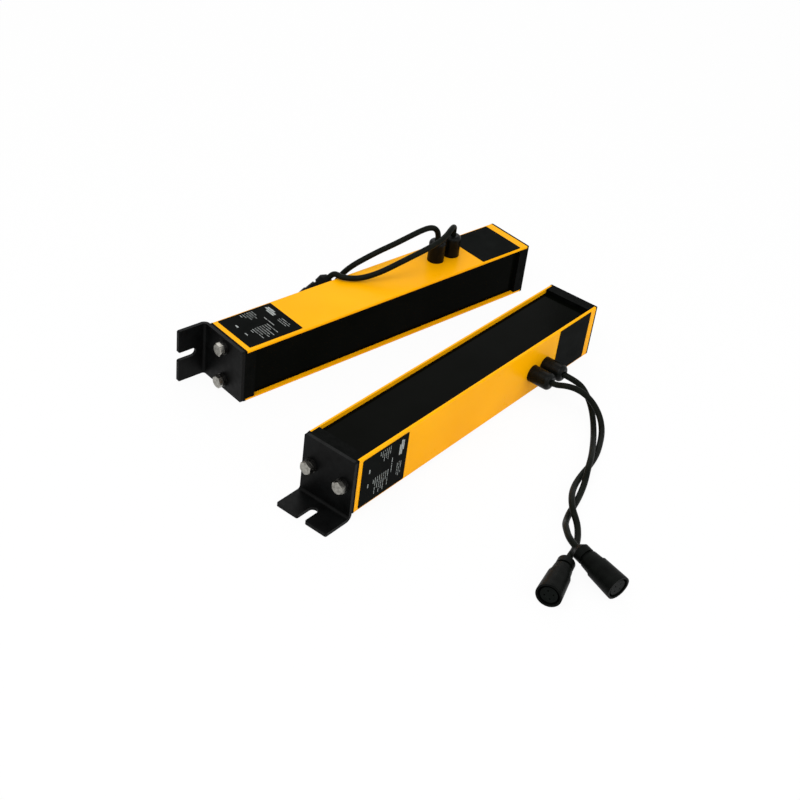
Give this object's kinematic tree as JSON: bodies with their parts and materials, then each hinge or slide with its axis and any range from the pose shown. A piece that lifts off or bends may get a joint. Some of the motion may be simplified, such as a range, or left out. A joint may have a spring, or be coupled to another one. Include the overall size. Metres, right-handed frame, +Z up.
{
  "type": "safety light curtain",
  "caption": "Safety light curtain set: long square-section emitter and receiver bars with recessed dark windows, slotted foot brackets, cable glands and leads ending in round plugs.",
  "frame": {"origin": "bottom centre of the box around the two bars, on the surface they lie on, with the leads and their plugs left out", "axes": "+X along the receiver bar from its bracket end to its far end, +Z up, +Y from the emitter bar towards the receiver bar"},
  "size_m": [0.3858, 0.4282, 0.0878],
  "materials": {
    "yellow_paint": "glossy golden yellow paint on an aluminium extrusion",
    "window_panel": "dark infrared-passing panel",
    "seal_rubber": "matt black",
    "cap_plastic": "black, finely textured",
    "small_steel": "zinc-plated",
    "black_steel": "satin black powder coat",
    "stainless": "bright",
    "dark_washer": "dark oxide",
    "label_film": "satin black film",
    "gland_nylon": "black nylon",
    "carrier_plastic": "black, plain",
    "lens_clear": "clear moulded lens",
    "board_laminate": "green circuit board",
    "diode_body": "tinted epoxy",
    "terminal_plastic": "green moulding",
    "cable_jacket": "black satin cable jacket",
    "plug_plastic": "black moulded plastic",
    "insert_plastic": "dark grey moulding"
  },
  "bodies": {
    "bars": {"emitter_bolt_washers": "dark_washer", "emitter_bracket": "black_steel", "emitter_bracket_bolts": "stainless", "emitter_cap_screws": "small_steel", "emitter_control_board": "board_laminate", "emitter_cord_1": "cable_jacket", "emitter_cord_2": "cable_jacket", "emitter_diodes": "diode_body", "emitter_end_gaskets": "seal_rubber", "emitter_far_cap": "cap_plastic", "emitter_far_label": "label_film", "emitter_gland_bodies": "gland_nylon", "emitter_gland_locknuts": "gland_nylon", "emitter_gland_nuts": "gland_nylon", "emitter_gland_seals": "seal_rubber", "emitter_housing": "yellow_paint", "emitter_lens_carrier": "carrier_plastic", "emitter_lenses": "lens_clear", "emitter_name_label": "label_film", "emitter_near_cap": "cap_plastic", "emitter_optic_board": "board_laminate", "emitter_plug_inserts": "insert_plastic", "emitter_plug_nuts": "plug_plastic", "emitter_plug_shell_1": "plug_plastic", "emitter_plug_shell_2": "plug_plastic", "emitter_terminal_block": "terminal_plastic", "emitter_window": "window_panel", "emitter_window_seal": "seal_rubber", "receiver_bolt_washers": "dark_washer", "receiver_bracket": "black_steel", "receiver_bracket_bolts": "stainless", "receiver_cap_screws": "small_steel", "receiver_control_board": "board_laminate", "receiver_cord_1": "cable_jacket", "receiver_cord_2": "cable_jacket", "receiver_diodes": "diode_body", "receiver_end_gaskets": "seal_rubber", "receiver_far_cap": "cap_plastic", "receiver_far_label": "label_film", "receiver_gland_bodies": "gland_nylon", "receiver_gland_locknuts": "gland_nylon", "receiver_gland_nuts": "gland_nylon", "receiver_gland_seals": "seal_rubber", "receiver_housing": "yellow_paint", "receiver_lens_carrier": "carrier_plastic", "receiver_lenses": "lens_clear", "receiver_name_label": "label_film", "receiver_near_cap": "cap_plastic", "receiver_optic_board": "board_laminate", "receiver_plug_inserts": "insert_plastic", "receiver_plug_nuts": "plug_plastic", "receiver_plug_shell_1": "plug_plastic", "receiver_plug_shell_2": "plug_plastic", "receiver_terminal_block": "terminal_plastic", "receiver_window": "window_panel", "receiver_window_seal": "seal_rubber"},
    "emitter_coupling_1": {"emitter_plug_ring_1": "plug_plastic"},
    "emitter_coupling_2": {"emitter_plug_ring_2": "plug_plastic"},
    "receiver_coupling_1": {"receiver_plug_ring_1": "plug_plastic"},
    "receiver_coupling_2": {"receiver_plug_ring_2": "plug_plastic"}
  },
  "joints": [
    {"name": "emitter_coupling_1_turn", "type": "hinge", "parent": "bars", "child": "emitter_coupling_1", "pos_m": [-0.08857, -0.25411, 0.00968], "axis": [-0.9048, -0.4235, 0.0443], "continuous": true},
    {"name": "emitter_coupling_2_turn", "type": "hinge", "parent": "bars", "child": "emitter_coupling_2", "pos_m": [-0.0505, -0.2718, 0.01105], "axis": [-0.097, -0.9938, -0.0545], "continuous": true},
    {"name": "receiver_coupling_1_turn", "type": "hinge", "parent": "bars", "child": "receiver_coupling_1", "pos_m": [0.06359, 0.13223, 0.00988], "axis": [0.994, 0.1011, 0.0421], "continuous": true},
    {"name": "receiver_coupling_2_turn", "type": "hinge", "parent": "bars", "child": "receiver_coupling_2", "pos_m": [-0.02729, 0.12049, 0.02502], "axis": [-0.6936, 0.1942, -0.6936], "continuous": true}
  ]
}
